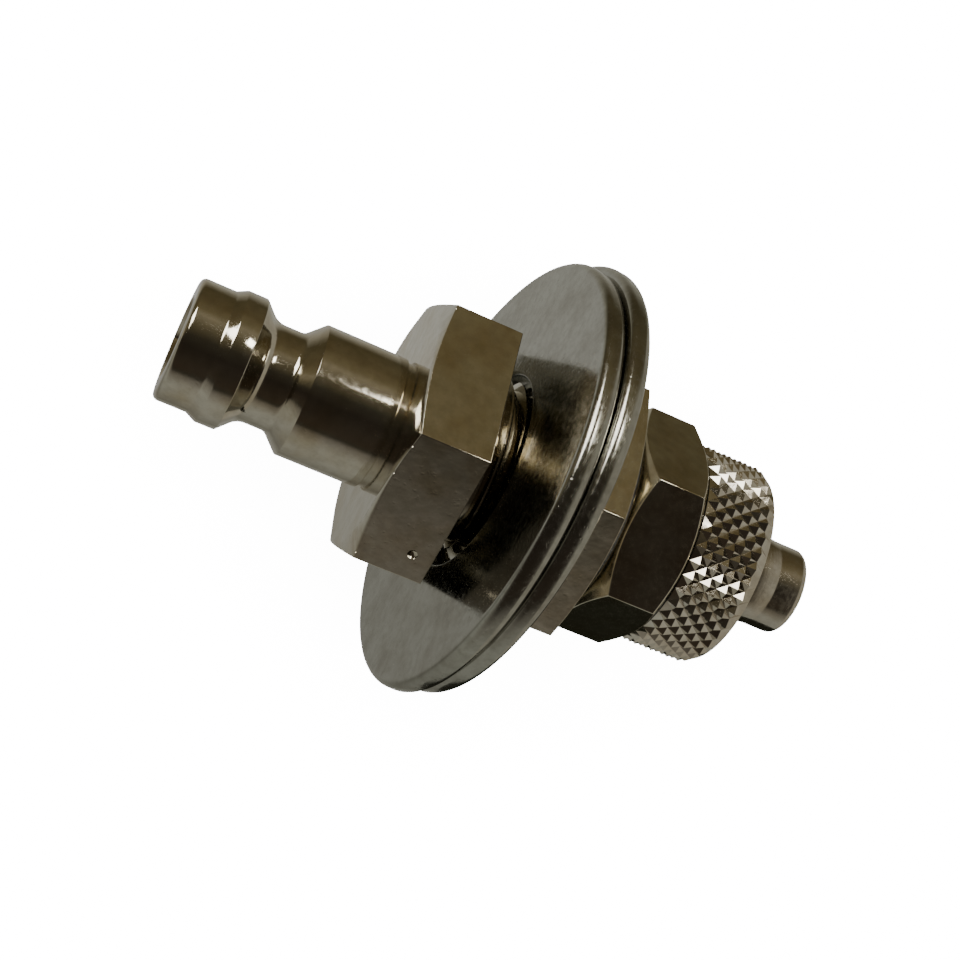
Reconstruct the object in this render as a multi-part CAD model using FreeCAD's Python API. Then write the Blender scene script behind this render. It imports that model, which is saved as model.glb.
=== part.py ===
# Bulkhead fitting: a quick-coupling plug at one end and a push-in tube
# connection at the other, on one axis along X. +X points to the plug's tip,
# +Z is up, and the origin is on the axis in the plane of the flange
# hexagon's rear face, which is the face that seats on the panel.
# All sizes are in millimetres.

import FreeCAD, Part
import math
import os

Vector = FreeCAD.Vector

# Plug end, in front of the flange hexagon
BORE_DIAMETER = 5.0
TIP_DIAMETER = 8.3
TIP_EDGE_RADIUS = 0.4
TIP_LENGTH = 2.35
TIP_CONE_LENGTH = 0.65
RING_DIAMETER = 9.0
RING_LENGTH = 1.33
NECK_DIAMETER = 6.76
NECK_LENGTH = 1.88
NECK_SLOPE_DEG = 45.0
NECK_FRONT_FILLET = 1.3
NECK_REAR_FILLET = 0.6
BARREL_DIAMETER = 9.0
BARREL_LENGTH = 5.6
RELIEF_WIDTH = 0.3
RELIEF_DEPTH = 0.2

# Flange hexagon and threaded shank
FLANGE_FLATS = 17.0
FLANGE_LENGTH = 5.1
FLANGE_CHAMFER_DEG = 17.0
FLANGE_FACE_DIAMETER = 16.3
FLANGE_ROLL_DEG = -3.5
SHANK_DIAMETER = 12.0
SHANK_LENGTH = 9.9
SHANK_CHAMFER = 0.5
SHANK_SOCKET_DEPTH = 6.6

# Loose washers, which lean on the thread as they lie in the photograph
WASHER_DIAMETER = 30.5
WASHER_BORE = 13.6
WASHER_THICKNESS = 1.5
WASHER_RIM_RADIUS = 0.55
WASHER_BORE_RADIUS = 0.3
WASHER_LEAN_DEG = 6.75
WASHER_LEAN_TOWARDS_DEG = -32.0
FRONT_WASHER_SHIFT = Vector(0, 0.40, 0.10)
REAR_WASHER_SHIFT = Vector(0, -0.10, -0.10)
WASHER_PLAY = 0.32
WASHER_GAP = 0.05

# Lock nut
LOCK_NUT_FLATS = 17.0
LOCK_NUT_THICKNESS = 3.85
LOCK_NUT_CHAMFER_DEG = 15.0
LOCK_NUT_FACE_DIAMETER = 16.3
LOCK_NUT_ROLL_DEG = -3.5
LOCK_NUT_PLAY = 0.07

# Tube connector, screwed into the end of the shank
STUB_DIAMETER = 8.0
STUB_LENGTH = 6.2
SEAL_THICKNESS = 0.5
SEAL_DIAMETER = 11.0
CONNECTOR_FLATS = 14.0
CONNECTOR_LENGTH = 4.85
CONNECTOR_CHAMFER_DEG = 30.0
CONNECTOR_FACE_DIAMETER = 13.4
CONNECTOR_ROLL_DEG = 32.3
FLOW_DIAMETER = 3.0
TUBE_DIAMETER = 4.0
TUBE_SOCKET_DEPTH = 2.2
SEAL_POCKET_DIAMETER = 6.2
SEAL_POCKET_DEPTH = 2.6
GLAND_THREAD_DIAMETER = 10.0
GLAND_SOCKET_DEPTH = 3.85

# Knurled gland nut
KNURL_DIAMETER = 14.3
KNURL_LENGTH = 4.95
KNURL_DEPTH = 0.32
KNURL_AROUND_PITCH = 1.10
KNURL_AXIAL_PITCH = 1.32
KNURL_END_DIAMETER = 13.5
GLAND_STUB_LENGTH = 3.5
GLAND_SEAT_GAP = 0.05
COLLET_CHAMBER_DIAMETER = 7.6
COLLET_CHAMBER_DEPTH = 2.4

# Release sleeve
SLEEVE_DIAMETER = 6.06
SLEEVE_BORE = 4.2
SLEEVE_REACH = 5.2
SLEEVE_EDGE_RADIUS = 0.5
SLEEVE_FLANGE_DIAMETER = 7.2
SLEEVE_FLANGE_LENGTH = 0.6
SLEEVE_NOSE_LENGTH = 0.9
SLEEVE_NOSE_DIAMETER = 5.2

# Grip ring, its backing ring and the tube seal
GRIP_THICKNESS = 0.25
GRIP_BORE = 3.9
GRIP_TOOTH_REACH = 0.7
GRIP_SLOTS = 8
GRIP_SLOT_WIDTH = 0.3
BACKING_LENGTH = 0.8

# Clearances
THREAD_CLEARANCE = 0.05
THREAD_CHAMFER = 0.4
SLEEVE_CLEARANCE = 0.07
INNER_CLEARANCE = 0.06

# Stations along the axis, worked out from the sizes above
FLANGE_FRONT = FLANGE_LENGTH
RELIEF_FRONT = FLANGE_FRONT + RELIEF_WIDTH
BARREL_FRONT = RELIEF_FRONT + BARREL_LENGTH
NECK_SLOPE = math.radians(NECK_SLOPE_DEG)
NECK_REAR = BARREL_FRONT + (BARREL_DIAMETER - NECK_DIAMETER) / 2 / math.tan(NECK_SLOPE)
NECK_FRONT = NECK_REAR + NECK_LENGTH
RING_REAR = NECK_FRONT + (RING_DIAMETER - NECK_DIAMETER) / 2 / math.tan(NECK_SLOPE)
RING_FRONT = RING_REAR + RING_LENGTH
TIP_REAR = RING_FRONT + TIP_CONE_LENGTH
TIP_FRONT = TIP_REAR + TIP_LENGTH

LEAN = math.radians(WASHER_LEAN_DEG)
FLANGE_CORNER = FLANGE_FLATS / math.sqrt(3)
LOCK_NUT_CORNER = LOCK_NUT_FLATS / math.sqrt(3)
LEAN_AT_FLANGE = FLANGE_CORNER * math.tan(LEAN)
LEAN_AT_NUT = LOCK_NUT_CORNER * math.tan(LEAN)
WASHER_STEP = WASHER_THICKNESS / math.cos(LEAN)
FRONT_WASHER_X = -(LEAN_AT_FLANGE + WASHER_PLAY + WASHER_STEP / 2)
REAR_WASHER_X = FRONT_WASHER_X - WASHER_STEP - WASHER_GAP
LOCK_NUT_FRONT = REAR_WASHER_X - WASHER_STEP / 2 - LEAN_AT_NUT - LOCK_NUT_PLAY
LOCK_NUT_REAR = LOCK_NUT_FRONT - LOCK_NUT_THICKNESS

SHANK_END = -SHANK_LENGTH
CONNECTOR_FRONT = SHANK_END - SEAL_THICKNESS
CONNECTOR_REAR = CONNECTOR_FRONT - CONNECTOR_LENGTH
STUB_FRONT = CONNECTOR_FRONT + STUB_LENGTH
GLAND_SHOULDER = CONNECTOR_REAR + GLAND_SOCKET_DEPTH
POCKET_FRONT = GLAND_SHOULDER + SEAL_POCKET_DEPTH
TUBE_STOP = POCKET_FRONT + TUBE_SOCKET_DEPTH
GLAND_FRONT = CONNECTOR_REAR - GLAND_SEAT_GAP
GLAND_REAR = GLAND_FRONT - KNURL_LENGTH
GLAND_STUB_FRONT = GLAND_FRONT + GLAND_STUB_LENGTH
CHAMBER_REAR = GLAND_STUB_FRONT - COLLET_CHAMBER_DEPTH
SLEEVE_END = GLAND_REAR - SLEEVE_REACH
FLANGE_OF_SLEEVE_REAR = CHAMBER_REAR + INNER_CLEARANCE
FLANGE_OF_SLEEVE_FRONT = FLANGE_OF_SLEEVE_REAR + SLEEVE_FLANGE_LENGTH
SLEEVE_NOSE_FRONT = FLANGE_OF_SLEEVE_FRONT + SLEEVE_NOSE_LENGTH
GRIP_REAR = (GLAND_STUB_FRONT + GLAND_SHOULDER - GRIP_THICKNESS) / 2
GRIP_FRONT = GRIP_REAR + GRIP_THICKNESS
TUBE_SEAL_SECTION = (SEAL_POCKET_DIAMETER - TUBE_DIAMETER) / 2 - INNER_CLEARANCE
TUBE_SEAL_X = POCKET_FRONT - INNER_CLEARANCE - TUBE_SEAL_SECTION / 2
BACKING_FRONT = TUBE_SEAL_X - TUBE_SEAL_SECTION / 2 - INNER_CLEARANCE
BACKING_REAR = BACKING_FRONT - BACKING_LENGTH


def turned(start, *moves):
    """Solid of revolution about X from an outline of (x, radius) points.

    A move is a point, for a straight side, or a pair of points, for an arc
    through the first that ends at the second.
    """
    edges = []
    here = Vector(start[0], 0, start[1])
    for move in moves:
        if isinstance(move[0], tuple):
            middle = Vector(move[0][0], 0, move[0][1])
            there = Vector(move[1][0], 0, move[1][1])
            edges.append(Part.Arc(here, middle, there).toShape())
        else:
            there = Vector(move[0], 0, move[1])
            edges.append(Part.makeLine(here, there))
        here = there
    edges.append(Part.makeLine(here, Vector(start[0], 0, start[1])))
    face = Part.Face(Part.Wire(edges))
    return face.revolve(Vector(0, 0, 0), Vector(1, 0, 0), 360)


def round_bar(rear, front, diameter):
    """Cylinder on the axis between two stations."""
    return Part.makeCylinder(diameter / 2, front - rear, Vector(rear, 0, 0), Vector(1, 0, 0))


def thread_stub(rear, front, diameter):
    """Male thread's outer size between two stations, with a chamfered front end."""
    radius = diameter / 2
    return turned(
        (rear, 0),
        (rear, radius),
        (front - THREAD_CHAMFER, radius),
        (front, radius - THREAD_CHAMFER),
        (front, 0),
    )


def hexagon(rear, front, flats, roll_deg):
    """Hexagonal bar between two stations, one corner rolled from straight up."""
    corner = flats / math.sqrt(3)
    points = []
    for step in range(7):
        angle = math.radians(roll_deg + 60 * step)
        points.append(Vector(rear, corner * math.sin(angle), corner * math.cos(angle)))
    face = Part.Face(Part.makePolygon(points))
    return face.extrude(Vector(front - rear, 0, 0))


def chamfered_hexagon(rear, front, flats, roll_deg, face_diameter, chamfer_deg, both_ends):
    """Hexagonal bar with its corners turned down by a cone at the front, or at both ends."""
    beyond = flats
    drop = (beyond - face_diameter / 2) * math.tan(math.radians(chamfer_deg))
    outline = [(front, 0), (front, face_diameter / 2), (front - drop, beyond)]
    if both_ends:
        middle = (front + rear) / 2
        overlap = drop - (front - rear) / 2
        if overlap > 0:
            waist = beyond - overlap / math.tan(math.radians(chamfer_deg))
            outline = outline[:2] + [(middle, waist), (rear, face_diameter / 2)]
        else:
            outline = outline + [(rear + drop, beyond), (rear, face_diameter / 2)]
    else:
        outline = outline + [(min(rear, front - drop), beyond)]
    outline.append((outline[-1][0], 0))
    cone = turned(outline[0], *outline[1:])
    return hexagon(rear, front, flats, roll_deg).common(cone)


def neck_blend(corner_x, forward, fillet):
    """Three (x, radius) points of the arc from the neck onto a slope at one of its ends.

    forward is 1 at the neck's front end and -1 at its rear end.
    """
    neck = NECK_DIAMETER / 2
    half = NECK_SLOPE / 2
    tangent = fillet * math.tan(half)
    start = (corner_x - forward * tangent, neck)
    middle = (start[0] + forward * fillet * math.sin(half), neck + fillet * (1 - math.cos(half)))
    end = (corner_x + forward * tangent * math.cos(NECK_SLOPE), neck + tangent * math.sin(NECK_SLOPE))
    return start, middle, end


def plug_body():
    """Turned plug, flange hexagon and threaded shank in one piece."""
    tip = TIP_DIAMETER / 2
    ring = RING_DIAMETER / 2
    barrel = BARREL_DIAMETER / 2
    bend = TIP_EDGE_RADIUS
    bend_in = bend * (1 - math.sqrt(0.5))
    rear_start, rear_middle, rear_end = neck_blend(NECK_REAR, -1, NECK_REAR_FILLET)
    front_start, front_middle, front_end = neck_blend(NECK_FRONT, 1, NECK_FRONT_FILLET)
    front = turned(
        (FLANGE_FRONT - RELIEF_WIDTH, 0),
        (FLANGE_FRONT - RELIEF_WIDTH, barrel - RELIEF_DEPTH),
        (RELIEF_FRONT, barrel - RELIEF_DEPTH),
        (RELIEF_FRONT, barrel),
        (BARREL_FRONT, barrel),
        rear_end,
        (rear_middle, rear_start),
        front_start,
        (front_middle, front_end),
        (RING_REAR, ring),
        (RING_FRONT, ring),
        (TIP_REAR, tip),
        (TIP_FRONT - bend, tip),
        ((TIP_FRONT - bend_in, tip - bend_in), (TIP_FRONT, tip - bend)),
        (TIP_FRONT, 0),
    )
    flange = chamfered_hexagon(0, FLANGE_FRONT, FLANGE_FLATS, FLANGE_ROLL_DEG,
                               FLANGE_FACE_DIAMETER, FLANGE_CHAMFER_DEG, False)
    shank_radius = SHANK_DIAMETER / 2
    shank = turned(
        (0, 0),
        (0, shank_radius),
        (SHANK_END + SHANK_CHAMFER, shank_radius),
        (SHANK_END, shank_radius - SHANK_CHAMFER),
        (SHANK_END, 0),
    )
    bore = round_bar(SHANK_END, TIP_FRONT, BORE_DIAMETER)
    socket_diameter = STUB_DIAMETER + 2 * THREAD_CLEARANCE
    socket = round_bar(SHANK_END, SHANK_END + SHANK_SOCKET_DEPTH, socket_diameter)
    return front.fuse([flange, shank]).cut(bore).cut(socket).removeSplitter()


def washer(centre_x, shift):
    """Stamped penny washer with rolled rim and bore edges, leaning on the thread."""
    half = WASHER_THICKNESS / 2
    outer = WASHER_DIAMETER / 2
    inner = WASHER_BORE / 2
    rim = WASHER_RIM_RADIUS
    eye = WASHER_BORE_RADIUS
    rim_in = rim * (1 - math.sqrt(0.5))
    eye_in = eye * (1 - math.sqrt(0.5))
    shape = turned(
        (half, outer - rim),
        ((half - rim_in, outer - rim_in), (half - rim, outer)),
        (rim - half, outer),
        ((rim_in - half, outer - rim_in), (-half, outer - rim)),
        (-half, inner + eye),
        ((eye_in - half, inner + eye_in), (eye - half, inner)),
        (half - eye, inner),
        ((half - eye_in, inner + eye_in), (half, inner + eye)),
    )
    towards = math.radians(WASHER_LEAN_TOWARDS_DEG)
    hinge_line = Vector(0, math.cos(towards), -math.sin(towards))
    shape.rotate(Vector(0, 0, 0), hinge_line, -WASHER_LEAN_DEG)
    shape.translate(Vector(centre_x, 0, 0) + shift)
    return shape


def lock_nut():
    """Thin hexagonal nut that clamps the panel between the washers and the flange."""
    nut = chamfered_hexagon(LOCK_NUT_REAR, LOCK_NUT_FRONT, LOCK_NUT_FLATS, LOCK_NUT_ROLL_DEG,
                            LOCK_NUT_FACE_DIAMETER, LOCK_NUT_CHAMFER_DEG, True)
    thread = round_bar(LOCK_NUT_REAR, LOCK_NUT_FRONT, SHANK_DIAMETER + 2 * THREAD_CLEARANCE)
    return nut.cut(thread)


def connector_seal():
    """Flat ring that seals the connector against the end of the shank."""
    ring = round_bar(CONNECTOR_FRONT, SHANK_END, SEAL_DIAMETER)
    hole = round_bar(CONNECTOR_FRONT, SHANK_END, STUB_DIAMETER + 2 * INNER_CLEARANCE)
    return ring.cut(hole)


def connector_body():
    """Hexagonal tube connector with the stub that screws into the shank."""
    nut = chamfered_hexagon(CONNECTOR_REAR, CONNECTOR_FRONT, CONNECTOR_FLATS, CONNECTOR_ROLL_DEG,
                            CONNECTOR_FACE_DIAMETER, CONNECTOR_CHAMFER_DEG, True)
    stub = thread_stub(CONNECTOR_FRONT, STUB_FRONT, STUB_DIAMETER)
    flow = round_bar(TUBE_STOP, STUB_FRONT, FLOW_DIAMETER)
    tube = round_bar(POCKET_FRONT, TUBE_STOP, TUBE_DIAMETER + 2 * INNER_CLEARANCE)
    pocket = round_bar(GLAND_SHOULDER, POCKET_FRONT, SEAL_POCKET_DIAMETER)
    thread_diameter = GLAND_THREAD_DIAMETER + 2 * THREAD_CLEARANCE
    thread = round_bar(CONNECTOR_REAR, GLAND_SHOULDER, thread_diameter)
    body = nut.fuse(stub).cut(flow)
    return body.cut(tube).cut(pocket).cut(thread).removeSplitter()


def knurled_bar(rear, front):
    """Bar with a diamond knurl: pyramids between two crossing sets of V grooves."""
    columns = 2 * round(math.pi * KNURL_DIAMETER / KNURL_AROUND_PITCH)
    rows = 2 * round((front - rear) / KNURL_AXIAL_PITCH)
    peak = KNURL_DIAMETER / 2
    valley = peak - KNURL_DEPTH

    def lattice_point(column, row):
        radius = peak if (column + row) % 2 else valley
        if row in (0, rows):
            radius = KNURL_END_DIAMETER / 2
        angle = 2 * math.pi * (column % columns) / columns
        x = rear + (front - rear) * row / rows
        return Vector(x, radius * math.sin(angle), radius * math.cos(angle))

    faces = []
    for column in range(columns):
        for row in range(rows):
            near = lattice_point(column, row)
            along = lattice_point(column, row + 1)
            around = lattice_point(column + 1, row)
            far = lattice_point(column + 1, row + 1)
            if (column + row) % 2:
                triangles = [(near, along, around), (far, around, along)]
            else:
                triangles = [(along, far, near), (around, near, far)]
            for corners in triangles:
                faces.append(Part.Face(Part.makePolygon(list(corners) + [corners[0]])))
    for row in (0, rows):
        ring = [lattice_point(column, row) for column in range(columns)]
        faces.append(Part.Face(Part.makePolygon(ring + [ring[0]])))
    shell = Part.makeShell(faces)
    shell.sewShape()
    return Part.makeSolid(shell)


def knurled_gland():
    """Knurled head and threaded stub that hold the grip ring and the release sleeve."""
    head = knurled_bar(GLAND_REAR, GLAND_FRONT)
    stub = thread_stub(GLAND_FRONT, GLAND_STUB_FRONT, GLAND_THREAD_DIAMETER)
    bore = round_bar(GLAND_REAR, GLAND_STUB_FRONT, SLEEVE_DIAMETER + 2 * SLEEVE_CLEARANCE)
    chamber = round_bar(CHAMBER_REAR, GLAND_STUB_FRONT, COLLET_CHAMBER_DIAMETER)
    return head.fuse(stub).cut(bore).cut(chamber)


def release_sleeve():
    """Smooth sleeve that is pressed in to open the grip ring, with its retaining flange."""
    outer = SLEEVE_DIAMETER / 2
    inner = SLEEVE_BORE / 2
    edge = SLEEVE_EDGE_RADIUS
    edge_in = edge * (1 - math.sqrt(0.5))
    return turned(
        (SLEEVE_END, inner),
        (SLEEVE_END, outer - edge),
        ((SLEEVE_END + edge_in, outer - edge_in), (SLEEVE_END + edge, outer)),
        (FLANGE_OF_SLEEVE_REAR, outer),
        (FLANGE_OF_SLEEVE_REAR, SLEEVE_FLANGE_DIAMETER / 2),
        (FLANGE_OF_SLEEVE_FRONT, SLEEVE_FLANGE_DIAMETER / 2),
        (FLANGE_OF_SLEEVE_FRONT, outer),
        (SLEEVE_NOSE_FRONT, SLEEVE_NOSE_DIAMETER / 2),
        (SLEEVE_NOSE_FRONT, inner),
    )


def grip_ring():
    """Slotted spring-steel ring whose teeth lean the way the tube goes in."""
    rim = GLAND_THREAD_DIAMETER / 2 - INNER_CLEARANCE
    root = SEAL_POCKET_DIAMETER / 2 - INNER_CLEARANCE
    tip = GRIP_BORE / 2
    ring = turned(
        (GRIP_REAR, rim),
        (GRIP_FRONT, rim),
        (GRIP_FRONT, root),
        (GRIP_FRONT + GRIP_TOOTH_REACH, tip),
        (GRIP_REAR + GRIP_TOOTH_REACH, tip),
        (GRIP_REAR, root),
    )
    slot_length = (rim + root) / 2
    slots_rear = GRIP_REAR - GRIP_THICKNESS
    slots_depth = GRIP_TOOTH_REACH + 3 * GRIP_THICKNESS
    for step in range(GRIP_SLOTS):
        corner = Vector(slots_rear, -GRIP_SLOT_WIDTH / 2, 0)
        slot = Part.makeBox(slots_depth, GRIP_SLOT_WIDTH, slot_length, corner)
        slot.rotate(Vector(0, 0, 0), Vector(1, 0, 0), 360 * step / GRIP_SLOTS)
        ring = ring.cut(slot)
    return ring


def backing_ring():
    """Plain ring between the tube seal and the teeth of the grip ring."""
    outside = SEAL_POCKET_DIAMETER - 2 * INNER_CLEARANCE
    ring = round_bar(BACKING_REAR, BACKING_FRONT, outside)
    return ring.cut(round_bar(BACKING_REAR, BACKING_FRONT, SLEEVE_BORE))


def tube_seal():
    """Rubber ring that seals on the tube inside the connector's pocket."""
    centre = (SEAL_POCKET_DIAMETER + TUBE_DIAMETER) / 4
    return Part.makeTorus(centre, TUBE_SEAL_SECTION / 2, Vector(TUBE_SEAL_X, 0, 0), Vector(1, 0, 0))


def save(name, shape):
    """Write one piece to its own file."""
    shape.exportStep("parts/" + name + ".step")


os.makedirs("parts", exist_ok=True)
save("plug_body", plug_body())
save("front_washer", washer(FRONT_WASHER_X, FRONT_WASHER_SHIFT))
save("rear_washer", washer(REAR_WASHER_X, REAR_WASHER_SHIFT))
save("lock_nut", lock_nut())
save("connector_seal", connector_seal())
save("connector_body", connector_body())
save("knurled_gland", knurled_gland())
save("release_sleeve", release_sleeve())
save("grip_ring", grip_ring())
save("backing_ring", backing_ring())
save("tube_seal", tube_seal())
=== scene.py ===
import math
import random

import bpy
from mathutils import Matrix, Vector


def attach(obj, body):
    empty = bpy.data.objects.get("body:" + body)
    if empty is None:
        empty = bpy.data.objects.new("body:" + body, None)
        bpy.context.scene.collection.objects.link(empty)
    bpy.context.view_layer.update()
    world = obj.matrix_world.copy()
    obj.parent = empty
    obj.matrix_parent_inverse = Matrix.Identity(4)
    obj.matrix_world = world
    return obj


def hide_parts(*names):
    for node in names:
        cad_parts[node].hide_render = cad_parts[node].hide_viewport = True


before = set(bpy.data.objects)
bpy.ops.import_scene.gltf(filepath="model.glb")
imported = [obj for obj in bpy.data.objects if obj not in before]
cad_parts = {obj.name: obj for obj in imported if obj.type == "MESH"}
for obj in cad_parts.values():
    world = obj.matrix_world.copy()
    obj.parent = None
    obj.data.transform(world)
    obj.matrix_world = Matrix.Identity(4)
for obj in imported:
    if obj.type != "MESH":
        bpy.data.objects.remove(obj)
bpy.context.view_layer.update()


# The plug body: one brass bar turned to the coupling's profile, with its flange
# hexagon left standing, the shank threaded M12 x 1 and the whole nickel plated.
# The panel seats on the flat rear face of its hexagon, at x = 0.
mm = 0.001
lathe_sides = 192
thread_pitch = 1.0
thread_depth = 0.6
shank_radius = 6.0
shank_end = -9.9
shank_socket_front = -3.3
plug_bore_radius = 2.5
stub_socket_radius = 4.05
flange_flats = 17.0
flange_front = 5.1
flange_roll = -3.5
flange_chamfer = 17.0
flange_face_radius = 8.15


def arc(centre_x, centre_radius, radius, first_deg, last_deg, steps=6):
    """Points (x, radius) of a rounded edge, turned from first_deg to last_deg."""
    points = []
    for step in range(steps + 1):
        angle = math.radians(first_deg + (last_deg - first_deg) * step / steps)
        points.append((centre_x + radius * math.cos(angle), centre_radius + radius * math.sin(angle)))
    return points


def turn_on_lathe(name, outline, closed):
    """Turned piece from an outline of (x, radius) points; a solid bar if it isn't closed."""
    bpy.ops.object.select_all(action="DESELECT")
    here_x, here_radius = outline[0]
    bpy.ops.mesh.primitive_circle_add(
        vertices=lathe_sides, radius=here_radius * mm, location=(here_x * mm, 0, 0),
        rotation=(0, math.pi / 2, 0), fill_type="NOTHING" if closed else "NGON")
    piece = bpy.context.object
    piece.name = name
    bpy.ops.object.transform_apply(location=True, rotation=True, scale=True)
    bpy.ops.object.mode_set(mode="EDIT")
    bpy.ops.mesh.select_mode(type="EDGE")
    bpy.ops.mesh.select_all(action="SELECT")
    stations = outline[1:] + (outline[:1] if closed else [])
    for x, radius in stations:
        ratio = radius / here_radius
        bpy.ops.mesh.extrude_region_move(
            TRANSFORM_OT_translate={"value": ((x - here_x) * mm, 0, 0)})
        bpy.ops.transform.resize(value=(1, ratio, ratio), center_override=(x * mm, 0, 0))
        here_x, here_radius = x, radius
    bpy.ops.mesh.select_all(action="SELECT")
    bpy.ops.mesh.remove_doubles(threshold=0.0005 * mm)
    bpy.ops.mesh.normals_make_consistent(inside=False)
    bpy.ops.object.mode_set(mode="OBJECT")
    return piece


def cut_hexagon(name, rear, front, flats, roll_deg):
    """Length of hexagon bar, one corner rolled from straight up."""
    bpy.ops.object.select_all(action="DESELECT")
    bpy.ops.mesh.primitive_cylinder_add(
        vertices=6, radius=flats / math.sqrt(3) * mm, depth=(front - rear) * mm,
        location=((front + rear) / 2 * mm, 0, 0), rotation=(0, math.pi / 2, 0))
    piece = bpy.context.object
    piece.name = name
    bpy.ops.object.transform_apply(location=True, rotation=True, scale=True)
    piece.rotation_euler = (math.radians(30 - roll_deg), 0, 0)
    bpy.ops.object.transform_apply(location=True, rotation=True, scale=True)
    return piece


def apply_modifier(piece, kind, **settings):
    """Add one modifier to a piece and apply it."""
    bpy.ops.object.select_all(action="DESELECT")
    bpy.context.view_layer.objects.active = piece
    piece.select_set(True)
    modifier = piece.modifiers.new(kind.lower(), kind)
    for setting, value in settings.items():
        setattr(modifier, setting, value)
    bpy.ops.object.modifier_apply(modifier=modifier.name)


def combine(piece, other, operation):
    """Join, cut or intersect a piece with another, which is used up."""
    apply_modifier(piece, "BOOLEAN", object=other, operation=operation, solver="EXACT")
    bpy.data.objects.remove(other, do_unlink=True)


def close_bar_end(bar):
    """Cap the open end of a solid bar."""
    bpy.ops.object.select_all(action="DESELECT")
    bpy.context.view_layer.objects.active = bar
    bar.select_set(True)
    bpy.ops.object.mode_set(mode="EDIT")
    bpy.ops.mesh.select_mode(type="EDGE")
    bpy.ops.mesh.select_all(action="DESELECT")
    bpy.ops.mesh.select_non_manifold()
    bpy.ops.mesh.edge_face_add()
    bpy.ops.mesh.select_all(action="SELECT")
    bpy.ops.mesh.normals_make_consistent(inside=False)
    bpy.ops.object.mode_set(mode="OBJECT")


def chamfer_corners(piece, rear, front, face_radius, chamfer_deg, both_ends):
    """Turn the hexagon's corners down with a cone at its front, or at both ends."""
    reach = 3.0
    drop = reach * math.tan(math.radians(chamfer_deg))
    wide = face_radius + reach
    middle = (front + rear) / 2
    if both_ends and drop > (front - rear) / 2:
        wide = face_radius + (front - rear) / 2 / math.tan(math.radians(chamfer_deg))
        outline = [(front, face_radius), (middle, wide), (rear, face_radius)]
    elif both_ends:
        outline = [(front, face_radius), (front - drop, wide), (rear + drop, wide), (rear, face_radius)]
    else:
        outline = [(front, face_radius), (front - drop, wide), (rear - 1.0, wide)]
    cone = turn_on_lathe("chamfer_cone", outline, False)
    close_bar_end(cone)
    combine(piece, cone, "INTERSECT")


def solid_bar(name, outline):
    """Solid turned bar with both its ends closed."""
    bar = turn_on_lathe(name, outline, False)
    close_bar_end(bar)
    return bar


def cut_thread(name, rear, front, radius, pitch, depth):
    """Threaded bar: a tooth outline screwed round the axis and sawn off square."""
    core = radius - depth
    tooth = [(0.0, core), (0.125, core), (0.4375, radius), (0.5625, radius), (0.875, core)]
    start = rear - 2 * pitch
    turns = int((front - rear) / pitch) + 4
    bpy.ops.object.select_all(action="DESELECT")
    bpy.ops.mesh.primitive_plane_add(size=0.01 * mm, location=(start * mm, 0, core * mm))
    piece = bpy.context.object
    piece.name = name
    bpy.ops.object.transform_apply(location=True, rotation=True, scale=True)
    bpy.ops.object.mode_set(mode="EDIT")
    bpy.ops.mesh.select_mode(type="VERT")
    bpy.ops.mesh.select_all(action="SELECT")
    bpy.ops.mesh.merge(type="CENTER")
    here_x, here_radius = start, core
    for turn in range(turns):
        for along, out in tooth[1:] + [(1.0, core)]:
            x = start + (turn + along) * pitch
            bpy.ops.mesh.extrude_region_move(
                TRANSFORM_OT_translate={"value": ((x - here_x) * mm, 0, (out - here_radius) * mm)})
            here_x, here_radius = x, out
    bpy.ops.object.mode_set(mode="OBJECT")
    apply_modifier(piece, "SCREW", axis="X", angle=2 * math.pi, screw_offset=pitch * mm, steps=96,
                   render_steps=96, iterations=1, use_merge_vertices=True, merge_threshold=0.0005 * mm)
    bpy.ops.object.mode_set(mode="EDIT")
    for x, outside in ((rear, -1), (front, 1)):
        bpy.ops.mesh.select_all(action="SELECT")
        bpy.ops.mesh.remove_doubles(threshold=0.0005 * mm)
        bpy.ops.mesh.bisect(plane_co=(x * mm, 0, 0), plane_no=(outside, 0, 0), use_fill=True,
                            clear_outer=True, threshold=0.0001 * mm)
    bpy.ops.mesh.select_all(action="SELECT")
    bpy.ops.mesh.normals_make_consistent(inside=False)
    bpy.ops.object.mode_set(mode="OBJECT")
    return piece


def add_thread(piece, rear, front, radius, depth, rear_chamfer, front_chamfer):
    """Screw a thread onto a piece's core, with both ends of the thread turned down."""
    thread = cut_thread("thread", rear, front, radius, thread_pitch, depth)
    form = solid_bar("thread_form", [(rear, radius - rear_chamfer), (rear + rear_chamfer, radius),
                                     (front - front_chamfer, radius), (front, radius - front_chamfer)])
    combine(thread, form, "INTERSECT")
    combine(piece, thread, "UNION")


def break_edges(piece, width, segments=2, angle=24):
    """Take the sharpness off a piece's edges, as tumbling before plating does."""
    apply_modifier(piece, "BEVEL", width=width * mm, segments=segments, limit_method="ANGLE",
                   angle_limit=math.radians(angle), use_clamp_overlap=True, miter_outer="MITER_ARC")


def smooth_surface(piece, angle=30):
    """Close the seams, shade round faces smooth and keep the flats flat."""
    bpy.ops.object.select_all(action="DESELECT")
    bpy.context.view_layer.objects.active = piece
    piece.select_set(True)
    bpy.ops.object.mode_set(mode="EDIT")
    bpy.ops.mesh.select_all(action="SELECT")
    bpy.ops.mesh.remove_doubles(threshold=0.0001 * mm)
    bpy.ops.mesh.normals_make_consistent(inside=False)
    bpy.ops.object.mode_set(mode="OBJECT")
    bpy.ops.object.shade_smooth_by_angle(angle=math.radians(angle))
    apply_modifier(piece, "WEIGHTED_NORMAL", keep_sharp=True, weight=60)


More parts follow.
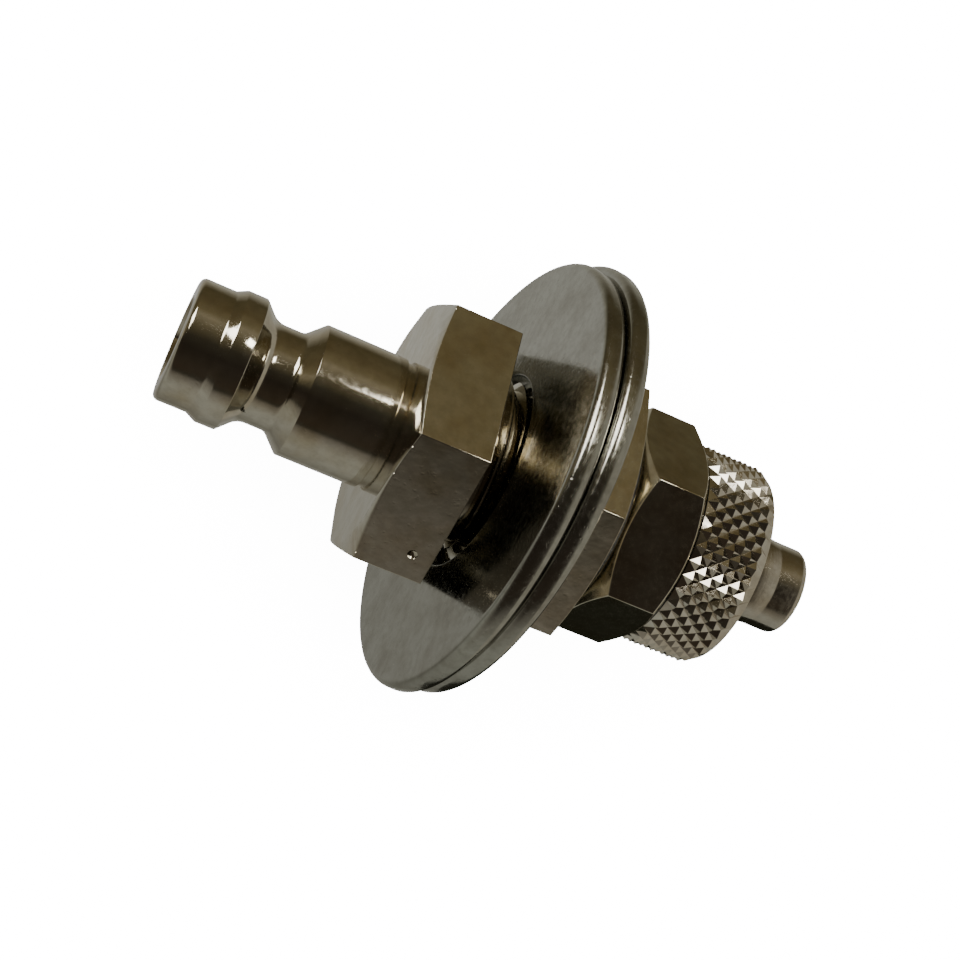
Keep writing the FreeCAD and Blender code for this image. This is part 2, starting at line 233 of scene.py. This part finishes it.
def wear_material(name, colour, stain, roughness, lay, scratch, dimple, dents):
    """Plated or bare metal with stains, tool marks across the axis and scattered fine dents.

    lay is how much finer the marks run along the axis than round it.
    """
    material = bpy.data.materials.new(name)
    material.use_nodes = True
    nodes, links = material.node_tree.nodes, material.node_tree.links
    shader = nodes["Principled BSDF"]
    shader.inputs["Metallic"].default_value = 1.0
    place = nodes.new("ShaderNodeTexCoord")

    def noise(scale, detail, stretch):
        mapping = nodes.new("ShaderNodeMapping")
        mapping.inputs["Scale"].default_value = [s / mm for s in stretch]
        pattern = nodes.new("ShaderNodeTexNoise")
        pattern.inputs["Scale"].default_value = scale
        pattern.inputs["Detail"].default_value = detail
        links.new(place.outputs["Object"], mapping.inputs["Vector"])
        links.new(mapping.outputs["Vector"], pattern.inputs["Vector"])
        return pattern

    def spread(source, low, high, to_low, to_high):
        ranged = nodes.new("ShaderNodeMapRange")
        ranged.inputs["From Min"].default_value = low
        ranged.inputs["From Max"].default_value = high
        ranged.inputs["To Min"].default_value = to_low
        ranged.inputs["To Max"].default_value = to_high
        links.new(source, ranged.inputs["Value"])
        return ranged.outputs["Result"]

    blotch = noise(0.35, 4, (1, 1, 1))
    tint = nodes.new("ShaderNodeMix")
    tint.data_type = "RGBA"
    tint.inputs["A"].default_value = (*colour, 1)
    tint.inputs["B"].default_value = (*stain, 1)
    links.new(spread(blotch.outputs["Fac"], 0.42, 0.68, 0, 1), tint.inputs["Factor"])
    clouds = noise(1.5, 9, (1, 1, 1))
    dull = nodes.new("ShaderNodeMix")
    dull.data_type = "RGBA"
    dull.blend_type = "MULTIPLY"
    dull.inputs["B"].default_value = (0.87, 0.865, 0.85, 1)
    links.new(spread(clouds.outputs["Fac"], 0.38, 0.66, 0, 1), dull.inputs["Factor"])
    links.new(tint.outputs["Result"], dull.inputs["A"])
    links.new(dull.outputs["Result"], shader.inputs["Base Color"])
    speckle = noise(3.0, 6, (1, 1, 1))
    links.new(spread(speckle.outputs["Fac"], 0.35, 0.7, roughness * 0.7, roughness * 1.5),
              shader.inputs["Roughness"])
    marks = noise(2.2, 5, (lay, 0.25, 0.25))
    tool = nodes.new("ShaderNodeBump")
    tool.inputs["Strength"].default_value = scratch
    tool.inputs["Distance"].default_value = 0.006 * mm
    links.new(marks.outputs["Fac"], tool.inputs["Height"])
    waves = noise(0.5, 3, (1, 1, 1))
    wavy = nodes.new("ShaderNodeBump")
    wavy.inputs["Strength"].default_value = dimple
    wavy.inputs["Distance"].default_value = 0.03 * mm
    links.new(waves.outputs["Fac"], wavy.inputs["Height"])
    links.new(tool.outputs["Normal"], wavy.inputs["Normal"])
    pits = noise(2.6, 4, (1, 1, 1))
    pitted = nodes.new("ShaderNodeBump")
    pitted.inputs["Strength"].default_value = dents
    pitted.inputs["Distance"].default_value = 0.02 * mm
    links.new(spread(pits.outputs["Fac"], 0.62, 0.70, 1, 0), pitted.inputs["Height"])
    links.new(wavy.outputs["Normal"], pitted.inputs["Normal"])
    links.new(pitted.outputs["Normal"], shader.inputs["Normal"])
    return material


nickel = (0.66, 0.63, 0.55)
nickel_stain = (0.56, 0.50, 0.38)
plug_nickel = wear_material("turned_nickel", nickel, nickel_stain, 0.09, 6.0, 0.3, 0.45, 0.08)


def finish_piece(piece, material, body, node):
    """Give a finished piece its metal, its body and the part it stands for."""
    piece.data.materials.clear()
    piece.data.materials.append(material)
    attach(piece, body)
    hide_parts(node)


neck_radius = 3.38
barrel_radius = 4.5
barrel_front = 11.01
ring_front = 16.5
tip_radius = 4.15
tip_end = 19.45
undercut_radius = 4.3
plug_core_radius = 5.2
plug_outline = [(shank_end + 0.3, plug_core_radius), (flange_front - 0.3, plug_core_radius),
                (flange_front - 0.3, undercut_radius), (5.36, undercut_radius), (5.4, 4.34),
                (5.4, 4.42), (5.43, 4.48), (5.5, barrel_radius), (10.92, barrel_radius),
                (10.97, 4.485), (barrel_front, 4.455)]
plug_outline += arc(12.12 + 0.25, neck_radius + 0.6, 0.6, 225, 270)
plug_outline += arc(14.0 - 0.54, neck_radius + 1.3, 1.3, 270, 315, 8)
plug_outline += [(15.05, 4.43), (15.10, 4.475), (15.17, barrel_radius), (16.38, barrel_radius),
                 (16.44, 4.49), (ring_front, 4.465), (17.04, 4.2), (17.1, 4.165), (17.18, tip_radius)]
plug_outline += arc(tip_end - 0.4, tip_radius - 0.4, 0.4, 90, 0, 8)
plug_visual = solid_bar("plug_bar", plug_outline)
flange = cut_hexagon("flange_hexagon", 0, flange_front, flange_flats, flange_roll)
chamfer_corners(flange, 0, flange_front, flange_face_radius, flange_chamfer, False)
break_edges(flange, 0.11)
edge_points = [v.co.copy() for v in flange.data.vertices if 0.2 < v.co.x / mm < flange_front - 0.15]
nick_places = random.Random(7)
nick_count = 22
for nick_place in nick_places.sample(edge_points, nick_count):
    bpy.ops.mesh.primitive_ico_sphere_add(subdivisions=1, radius=nick_places.uniform(0.05, 0.10) * mm,
                                          location=nick_place)
    combine(flange, bpy.context.object, "DIFFERENCE")
dent_radius = 0.42
dent_place = (1.4 * mm, 6.67 * mm, 6.42 * mm)
bpy.ops.mesh.primitive_ico_sphere_add(subdivisions=2, radius=dent_radius * mm, location=dent_place,
                                      rotation=(0.4, 0.3, 0.8))
combine(flange, bpy.context.object, "DIFFERENCE")
combine(plug_visual, flange, "UNION")
add_thread(plug_visual, shank_end, -0.35, shank_radius, thread_depth, 0.7, 0.3)
plug_bore = solid_bar("plug_bore", [(shank_end - 1, plug_bore_radius), (19.15, plug_bore_radius),
                                    (20.15, plug_bore_radius + 1.0)])
combine(plug_visual, plug_bore, "DIFFERENCE")
stub_socket = solid_bar("stub_socket", [(shank_end - 0.6, stub_socket_radius + 1.0),
                                        (shank_end + 0.4, stub_socket_radius),
                                        (shank_socket_front, stub_socket_radius)])
combine(plug_visual, stub_socket, "DIFFERENCE")
plug_visual.name = "plug_turned_body"
smooth_surface(plug_visual, 20)
finish_piece(plug_visual, plug_nickel, "plug", "plug_body")


# Two penny washers: stamped steel with rolled edges, loose on the thread and
# lying against each other. They lean as they do in the photograph.
washer_radius = 15.25
washer_bore_radius = 6.8
washer_half = 0.75
washer_rim = 0.55
washer_lean = math.radians(6.75)
washer_lean_towards = math.radians(-32)
washer_steel = wear_material("tumbled_steel", (0.46, 0.46, 0.42), (0.37, 0.36, 0.32),
                             0.17, 1.0, 0.2, 0.25, 0.25)


def press_washer(name, centre_x, shift_y, shift_z):
    """Washer blank, rolled at the rim and bore, set down at its lean."""
    outline = arc(washer_half - washer_rim, washer_radius - washer_rim, washer_rim, 0, 90)
    outline += arc(washer_rim - washer_half, washer_radius - washer_rim, washer_rim, 90, 180)
    outline += arc(0.3 - washer_half, washer_bore_radius + 0.3, 0.3, 180, 270)
    outline += arc(washer_half - 0.3, washer_bore_radius + 0.3, 0.3, 270, 360)
    washer = turn_on_lathe(name, outline, True)
    hinge_line = Vector((0, math.cos(washer_lean_towards), -math.sin(washer_lean_towards)))
    washer.rotation_mode = "AXIS_ANGLE"
    washer.rotation_axis_angle = (-washer_lean, *hinge_line)
    washer.location = (centre_x * mm, shift_y * mm, shift_z * mm)
    bpy.ops.object.select_all(action="DESELECT")
    bpy.context.view_layer.objects.active = washer
    washer.select_set(True)
    bpy.ops.object.transform_apply(location=True, rotation=True, scale=True)
    washer.rotation_mode = "XYZ"
    smooth_surface(washer)
    return washer


washer_step = 2 * washer_half / math.cos(washer_lean)
front_washer_x = -(flange_flats / math.sqrt(3) * math.tan(washer_lean) + 0.32 + washer_step / 2)
front_washer = press_washer("front_penny_washer", front_washer_x, 0.40, 0.10)
finish_piece(front_washer, washer_steel, "front_washer", "front_washer")
rear_washer = press_washer("rear_penny_washer", front_washer_x - washer_step - 0.05, -0.10, -0.10)
finish_piece(rear_washer, washer_steel, "rear_washer", "rear_washer")


# The lock nut: a thin 17 mm hexagon, nickel-plated brass, that runs on the
# shank's thread and clamps the panel and washers against the flange.
lock_nut_rear = -9.63
lock_nut_front = -5.78
hex_nickel = wear_material("milled_nickel", (0.72, 0.69, 0.59), (0.60, 0.54, 0.42),
                           0.14, 0.7, 0.6, 0.8, 0.08)
lock_nut = cut_hexagon("lock_nut_hexagon", lock_nut_rear, lock_nut_front, flange_flats, flange_roll)
chamfer_corners(lock_nut, lock_nut_rear, lock_nut_front, flange_face_radius, 15.0, True)
break_edges(lock_nut, 0.08)
nut_bore = solid_bar("nut_bore", [(lock_nut_rear - 0.5, 6.95), (lock_nut_rear + 0.4, 6.05),
                                  (lock_nut_front - 0.4, 6.05), (lock_nut_front + 0.5, 6.95)])
combine(lock_nut, nut_bore, "DIFFERENCE")
smooth_surface(lock_nut)
finish_piece(lock_nut, hex_nickel, "lock_nut", "lock_nut")


# The connector's seal: a flat moulded rubber ring between the shank's end and
# the connector's hexagon. Only its edge shows, in the gap.
rubber = bpy.data.materials.new("moulded_nitrile")
rubber.use_nodes = True
rubber_nodes, rubber_links = rubber.node_tree.nodes, rubber.node_tree.links
rubber_nodes["Principled BSDF"].inputs["Roughness"].default_value = 0.55
rubber_place = rubber_nodes.new("ShaderNodeTexCoord")
rubber_grain = rubber_nodes.new("ShaderNodeTexNoise")
rubber_grain.inputs["Scale"].default_value = 9 / mm
rubber_tone = rubber_nodes.new("ShaderNodeValToRGB")
rubber_tone.color_ramp.elements[0].color = (0.012, 0.012, 0.012, 1)
rubber_tone.color_ramp.elements[1].color = (0.045, 0.043, 0.04, 1)
rubber_bump = rubber_nodes.new("ShaderNodeBump")
rubber_bump.inputs["Distance"].default_value = 0.01 * mm
rubber_links.new(rubber_place.outputs["Object"], rubber_grain.inputs["Vector"])
rubber_links.new(rubber_grain.outputs["Fac"], rubber_tone.inputs["Fac"])
rubber_links.new(rubber_tone.outputs["Color"], rubber_nodes["Principled BSDF"].inputs["Base Color"])
rubber_links.new(rubber_grain.outputs["Fac"], rubber_bump.inputs["Height"])
rubber_links.new(rubber_bump.outputs["Normal"], rubber_nodes["Principled BSDF"].inputs["Normal"])
connector_seal_outline = [(-10.37, 4.1), (-10.37, 5.4), (-10.3, 5.5),
                          (-10.0, 5.5), (-9.93, 5.4), (-9.93, 4.1)]
connector_seal = turn_on_lathe("connector_flat_seal", connector_seal_outline, True)
smooth_surface(connector_seal)
finish_piece(connector_seal, rubber, "connector_seal", "connector_seal")


# The tube connector: a 14 mm hexagon with a threaded stub that screws into the
# shank. The tube seal and the grip ring sit in its rear, under the gland.
connector_rear = -15.25
connector_front = -10.4
connector_flats = 14.0
connector_roll = 32.3
connector_face_radius = 6.7
connector_chamfer = 30.0
gland_hole_radius = 5.05
seal_pocket_radius = 3.1
tube_seat_radius = 2.06
flow_radius = 1.5
connector_visual = cut_hexagon("connector_hexagon", connector_rear, connector_front, connector_flats,
                               connector_roll)
chamfer_corners(connector_visual, connector_rear, connector_front, connector_face_radius,
                connector_chamfer, True)
break_edges(connector_visual, 0.08)
stub_core = solid_bar("stub_core", [(connector_front - 0.4, 3.95), (-9.85, 3.95),
                                    (-9.75, 3.3), (-4.5, 3.3)])
combine(connector_visual, stub_core, "UNION")
add_thread(connector_visual, -9.7, -4.2, 4.0, thread_depth, 0.3, 0.5)
passage = solid_bar("connector_passage", [
    (connector_rear - 1, gland_hole_radius), (-11.4, gland_hole_radius),
    (-11.4, seal_pocket_radius), (-8.8, seal_pocket_radius),
    (-8.8, tube_seat_radius), (-6.6, tube_seat_radius),
    (-6.6, flow_radius), (-3.5, flow_radius)])
combine(connector_visual, passage, "DIFFERENCE")
smooth_surface(connector_visual)
finish_piece(connector_visual, hex_nickel, "connector", "connector_body")


# The parts that hold and seal the tube lie under the gland: a rubber ring, a
# turned brass backing ring and a slotted ring of spring steel with teeth.
inner_brass = wear_material("turned_brass_bare", (0.72, 0.56, 0.28), (0.60, 0.42, 0.18),
                            0.22, 5.0, 0.5, 0.1, 0.1)
spring_steel = wear_material("bare_spring_steel", (0.50, 0.51, 0.52), (0.38, 0.38, 0.38),
                             0.24, 2.0, 0.5, 0.1, 0.1)
for node_name, inner_material in (("backing_ring", inner_brass), ("grip_ring", spring_steel),
                                  ("tube_seal", rubber)):
    inner_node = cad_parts[node_name]
    inner_node.data.materials.clear()
    inner_node.data.materials.append(inner_material)


# The knurled gland: turned round bar with a diamond knurl rolled on its head,
# screwed into the connector to hold the grip ring and the release sleeve.
gland_rear = -20.25
gland_front = -15.3
knurl_radius = 7.15
knurl_depth = 0.32
knurl_end_radius = 6.75
knurl_columns = 82
knurl_rows = 8
sleeve_hole_radius = 3.1
chamber_radius = 3.8
chamber_rear = -14.2
knurl_nickel = wear_material("knurled_nickel", (0.74, 0.71, 0.64), (0.60, 0.55, 0.45),
                             0.10, 1.0, 0.2, 0.05, 0.05)
bpy.ops.object.select_all(action="DESELECT")
bpy.ops.mesh.primitive_cylinder_add(vertices=knurl_columns, radius=knurl_radius * mm,
                                    depth=(gland_front - gland_rear) * mm,
                                    location=((gland_front + gland_rear) / 2 * mm, 0, 0),
                                    rotation=(0, math.pi / 2, 0))
gland = bpy.context.object
gland.name = "knurled_gland_nut"
bpy.ops.object.transform_apply(location=True, rotation=True, scale=True)
bpy.ops.object.mode_set(mode="EDIT")
knurl_step = (gland_front - gland_rear) / knurl_rows
for row in range(1, knurl_rows):
    bpy.ops.mesh.select_all(action="SELECT")
    bpy.ops.mesh.bisect(plane_co=((gland_rear + row * knurl_step) * mm, 0, 0), plane_no=(1, 0, 0),
                        threshold=0.0001 * mm)
bpy.ops.mesh.select_mode(type="VERT")
bpy.ops.mesh.select_all(action="DESELECT")
bpy.ops.object.mode_set(mode="OBJECT")


def knurl_place(point):
    """Column and row of a point on the knurl's lattice."""
    turn = math.atan2(point.z, point.y) / (2 * math.pi)
    return round(turn * knurl_columns), round((point.x / mm - gland_rear) / knurl_step)


def select_knurl(chosen):
    """Select the lattice points that a rule picks by column and row."""
    for vertex in gland.data.vertices:
        vertex.select = chosen(*knurl_place(vertex.co))
    bpy.ops.object.mode_set(mode="EDIT")


def squeeze_knurl(radius, from_radius):
    """Draw the selected lattice points in towards the axis."""
    ratio = radius / from_radius
    bpy.ops.transform.resize(value=(1, ratio, ratio), center_override=(0, 0, 0))
    bpy.ops.mesh.select_all(action="DESELECT")
    bpy.ops.object.mode_set(mode="OBJECT")


select_knurl(lambda column, row: 0 < row < knurl_rows and (column + row) % 2 == 0)
squeeze_knurl(knurl_radius - knurl_depth, knurl_radius)
select_knurl(lambda column, row: row in (0, knurl_rows))
squeeze_knurl(knurl_end_radius, knurl_radius)
bpy.ops.object.mode_set(mode="EDIT")
bpy.ops.mesh.select_mode(type="FACE")
bpy.ops.mesh.select_all(action="SELECT")
bpy.ops.object.mode_set(mode="OBJECT")
for face in gland.data.polygons:
    face.select = len(face.vertices) == 4
bpy.ops.object.mode_set(mode="EDIT")
bpy.ops.mesh.quads_convert_to_tris(quad_method="SHORTEST_DIAGONAL")
bpy.ops.object.mode_set(mode="OBJECT")
gland_core = solid_bar("gland_core", [(gland_front - 0.4, 4.9), (gland_front + 0.1, 4.9),
                                      (gland_front + 0.2, 4.35), (-12.1, 4.35)])
combine(gland, gland_core, "UNION")
add_thread(gland, gland_front + 0.25, -11.8, 5.0, 0.55, 0.3, 0.5)
gland_bore = solid_bar("gland_bore", [
    (gland_rear - 0.45, sleeve_hole_radius + 0.6), (gland_rear + 0.15, sleeve_hole_radius),
    (chamber_rear, sleeve_hole_radius), (chamber_rear, chamber_radius), (-11.0, chamber_radius)])
combine(gland, gland_bore, "DIFFERENCE")
smooth_surface(gland, 18)
finish_piece(gland, knurl_nickel, "knurled_gland", "knurled_gland")


# The release sleeve: a smooth nickel-plated tube, pressed in by hand to lift
# the teeth off the tube. Its inner flange keeps it in the gland.
sleeve_end = -25.45
sleeve_radius = 3.03
sleeve_flare_radius = 3.2
sleeve_flange_radius = 3.6
sleeve_bore_radius = 2.1
sleeve_outline = arc(sleeve_end + 0.15, sleeve_bore_radius + 0.15, 0.15, 270, 180, 4)
sleeve_outline += arc(sleeve_end + 0.5, sleeve_radius - 0.5, 0.5, 180, 90, 8)
sleeve_outline += [(-23.35, sleeve_radius), (-23.25, 3.036), (-23.15, 3.05),
                   (-21.75, sleeve_flare_radius), (-21.45, sleeve_flare_radius), (-21.4, 3.17),
                   (-21.38, sleeve_radius), (-14.14, sleeve_radius),
                   (-14.14, sleeve_flange_radius), (-13.54, sleeve_flange_radius),
                   (-13.54, sleeve_radius), (-12.64, 2.6), (-12.64, sleeve_bore_radius)]
release_sleeve = turn_on_lathe("release_sleeve_tube", sleeve_outline, True)
smooth_surface(release_sleeve, 20)
sleeve_nickel = wear_material("drawn_nickel", (0.62, 0.59, 0.52), (0.52, 0.47, 0.38),
                              0.13, 3.0, 0.3, 0.12, 0.05)
finish_piece(release_sleeve, sleeve_nickel, "release_sleeve", "release_sleeve")


# The studio: a white floor and room, soft tones round the part's axis that only
# the metal mirrors, two windows and an overhead light. A black card that only
# reflections see stands in for the part's shadow on the bench.
floor_height = -15.5
card_width = 34
card_depth = 48
bpy.ops.object.select_all(action="DESELECT")
bpy.ops.mesh.primitive_plane_add(size=1.2, location=(0, 0, floor_height * mm))
floor = bpy.context.object
floor.name = "studio_floor"
floor_paint = bpy.data.materials.new("pale_floor")
floor_paint.use_nodes = True
floor_shader = floor_paint.node_tree.nodes["Principled BSDF"]
floor_shader.inputs["Base Color"].default_value = (0.9, 0.9, 0.9, 1)
floor_shader.inputs["Roughness"].default_value = 0.9
floor_shader.inputs["Specular IOR Level"].default_value = 0.0
floor_shader.inputs["Emission Color"].default_value = (1, 1, 1, 1)
floor_shader.inputs["Emission Strength"].default_value = 12.0
floor.data.materials.append(floor_paint)
floor.visible_glossy = False

bpy.ops.mesh.primitive_plane_add(size=1, location=(-28 * mm, 27 * mm, (floor_height + 0.2) * mm))
dark_card = bpy.context.object
dark_card.name = "dark_card"
dark_card.scale = (card_width * mm, card_depth * mm, 1)
bpy.ops.object.transform_apply(location=True, rotation=True, scale=True)
card_black = bpy.data.materials.new("black_card")
card_black.use_nodes = True
card_shader = card_black.node_tree.nodes["Principled BSDF"]
card_shader.inputs["Base Color"].default_value = (0.003, 0.003, 0.002, 1)
card_shader.inputs["Specular IOR Level"].default_value = 0.0
dark_card.data.materials.append(card_black)
dark_card.visible_camera = False
dark_card.visible_shadow = False
dark_card.visible_diffuse = False

room = bpy.data.worlds.new("soft_room")
bpy.context.scene.world = room
room.use_nodes = True
room_nodes, room_links = room.node_tree.nodes, room.node_tree.links
room_nodes.clear()
room_place = room_nodes.new("ShaderNodeTexCoord")
room_axes = room_nodes.new("ShaderNodeSeparateXYZ")
room_turn = room_nodes.new("ShaderNodeMath")
room_turn.operation = "ARCTAN2"
room_share = room_nodes.new("ShaderNodeMapRange")
room_share.inputs["From Min"].default_value = -math.pi
room_share.inputs["From Max"].default_value = math.pi
room_ramp = room_nodes.new("ShaderNodeValToRGB")
room_stops = [
    (-165, (0.44, 0.435, 0.395)),
    (-143, (0.34, 0.325, 0.265)),
    (-122, (0.09, 0.075, 0.04)),
    (-85, (0.115, 0.09, 0.045)),
    (-66, (0.17, 0.14, 0.075)),
    (-56, (0.25, 0.215, 0.14)),
    (-38, (0.13, 0.11, 0.065)),
    (-15, (0.04, 0.035, 0.025)),
    (5, (0.025, 0.02, 0.015)),
    (45, (0.045, 0.035, 0.025)),
    (53, (0.045, 0.04, 0.03)),
    (60, (0.17, 0.155, 0.13)),
    (72, (0.27, 0.26, 0.22)),
    (84, (0.33, 0.33, 0.285)),
    (110, (0.31, 0.31, 0.27)),
    (140, (0.20, 0.195, 0.165)),
    (160, (0.32, 0.315, 0.28)),
]
room_ramp.color_ramp.elements.remove(room_ramp.color_ramp.elements[1])
for turn_deg, colour in room_stops:
    stop = room_ramp.color_ramp.elements.new((turn_deg + 180) / 360)
    stop.color = (*colour, 1)
room_ramp.color_ramp.elements.remove(room_ramp.color_ramp.elements[0])
room_end = room_nodes.new("ShaderNodeMapRange")
room_end.inputs["From Min"].default_value = -0.52
room_end.inputs["From Max"].default_value = -0.58
room_end_tone = room_nodes.new("ShaderNodeMix")
room_end_tone.data_type = "RGBA"
room_end_tone.inputs["B"].default_value = (0.37, 0.35, 0.29, 1)
room_light = room_nodes.new("ShaderNodeBackground")
pale = room_nodes.new("ShaderNodeBackground")
pale.inputs["Color"].default_value = (1, 1, 1, 1)
pale.inputs["Strength"].default_value = 16.0
rays = room_nodes.new("ShaderNodeLightPath")
chooser = room_nodes.new("ShaderNodeMixShader")
room_out = room_nodes.new("ShaderNodeOutputWorld")
room_links.new(room_place.outputs["Generated"], room_axes.inputs[0])
room_links.new(room_axes.outputs["Y"], room_turn.inputs[0])
room_links.new(room_axes.outputs["Z"], room_turn.inputs[1])
room_links.new(room_turn.outputs[0], room_share.inputs["Value"])
room_links.new(room_share.outputs["Result"], room_ramp.inputs["Fac"])
room_links.new(room_axes.outputs["X"], room_end.inputs["Value"])
room_links.new(room_end.outputs["Result"], room_end_tone.inputs["Factor"])
room_links.new(room_ramp.outputs["Color"], room_end_tone.inputs["A"])
room_links.new(room_end_tone.outputs["Result"], room_light.inputs["Color"])
room_links.new(rays.outputs["Is Camera Ray"], chooser.inputs["Fac"])
room_links.new(room_light.outputs[0], chooser.inputs[1])
room_links.new(pale.outputs[0], chooser.inputs[2])
room_links.new(chooser.outputs[0], room_out.inputs["Surface"])


def hang_light(name, direction, distance, size, power, colour):
    """Soft square light that faces the part."""
    lamp = bpy.data.lights.new(name, "AREA")
    lamp.size = size
    lamp.energy = power
    lamp.color = colour
    holder = bpy.data.objects.new(name, lamp)
    bpy.context.scene.collection.objects.link(holder)
    holder.location = Vector(direction).normalized() * distance
    holder.rotation_euler = Vector(direction).to_track_quat("Z", "Y").to_euler()
    holder.visible_camera = False
    return holder


overhead = hang_light("overhead_softbox", (0.1, -0.1, 1), 0.8, 0.9, 46.0, (1, 1, 1))
overhead.visible_glossy = False
hang_light("high_window", (-0.285, -0.62, 0.74), 0.5, 0.10, 0.32, (1.0, 0.96, 0.86))
hang_light("low_window", (0.52, -0.64, 0.57), 0.5, 0.26, 1.5, (1.0, 0.97, 0.90))

camera_data = bpy.data.cameras.new("camera")
camera_data.sensor_width = 36.0
camera_data.lens = 61.0
camera_data.shift_x = -0.0033
camera_data.shift_y = -0.0607
camera_data.clip_start = 0.01
camera = bpy.data.objects.new("camera", camera_data)
camera.location = (24.19 * mm, -2.68 * mm, 103.95 * mm)
camera.rotation_euler = [math.radians(a) for a in (-5.4194, -12.4636, -156.2715)]
bpy.context.scene.collection.objects.link(camera)
bpy.context.scene.camera = camera
